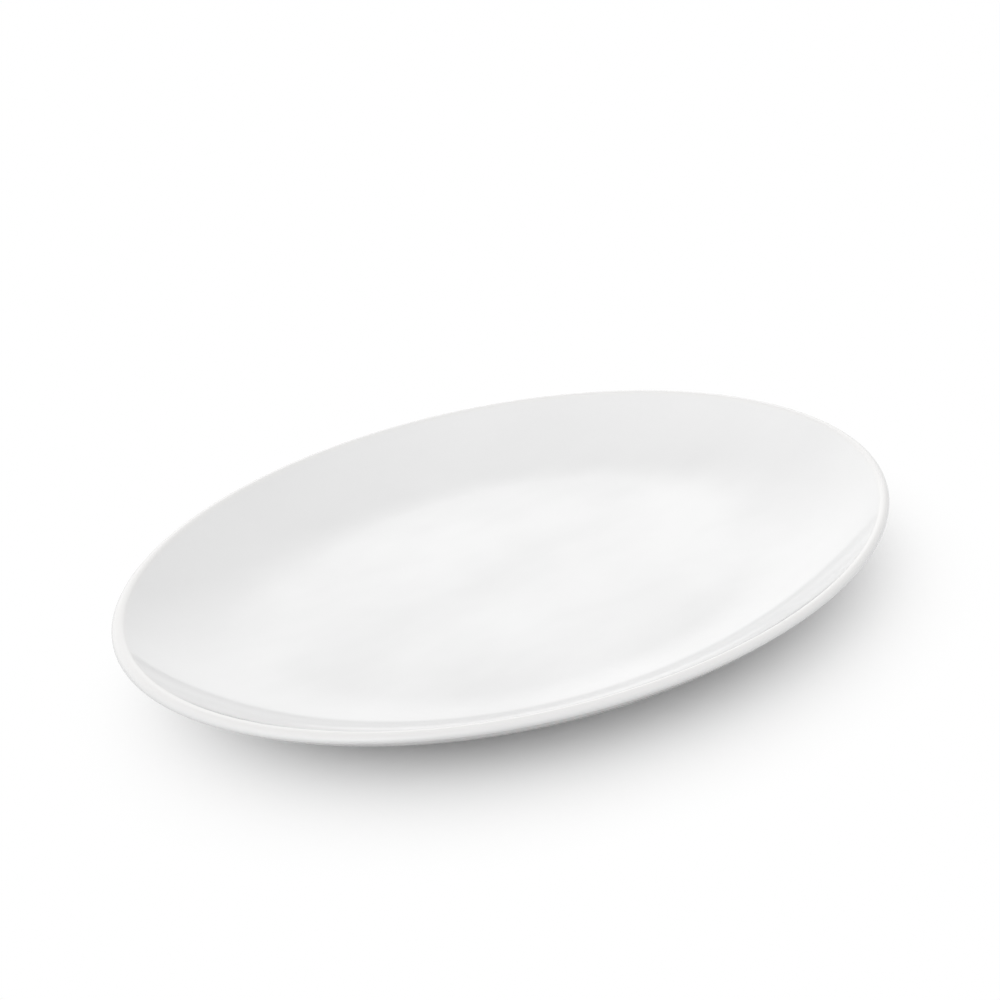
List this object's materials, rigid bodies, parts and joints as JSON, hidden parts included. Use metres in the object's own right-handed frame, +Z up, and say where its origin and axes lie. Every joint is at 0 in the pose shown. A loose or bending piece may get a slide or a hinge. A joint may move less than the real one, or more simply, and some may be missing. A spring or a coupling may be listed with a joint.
{
  "type": "oval serving platter",
  "caption": "Oval coupe serving platter in white glazed porcelain: a flat well, a wall that curves up to a rounded lip, and a low foot ring that it stands on.",
  "frame": {"origin": "centre of the oval on the table, at the bottom of the foot ring", "axes": "+X along the long way of the oval, +Y across the short way, +Z up out of the well"},
  "size_m": [0.33, 0.224, 0.0259],
  "materials": {
    "porcelain": "bare fired porcelain, ground smooth on the foot",
    "glaze": "glossy white glaze"
  },
  "bodies": {
    "root": {"body": "porcelain", "foot_ring": "porcelain", "upper_glaze": "glaze", "underside_glaze": "glaze", "base_glaze": "glaze"}
  },
  "joints": []
}
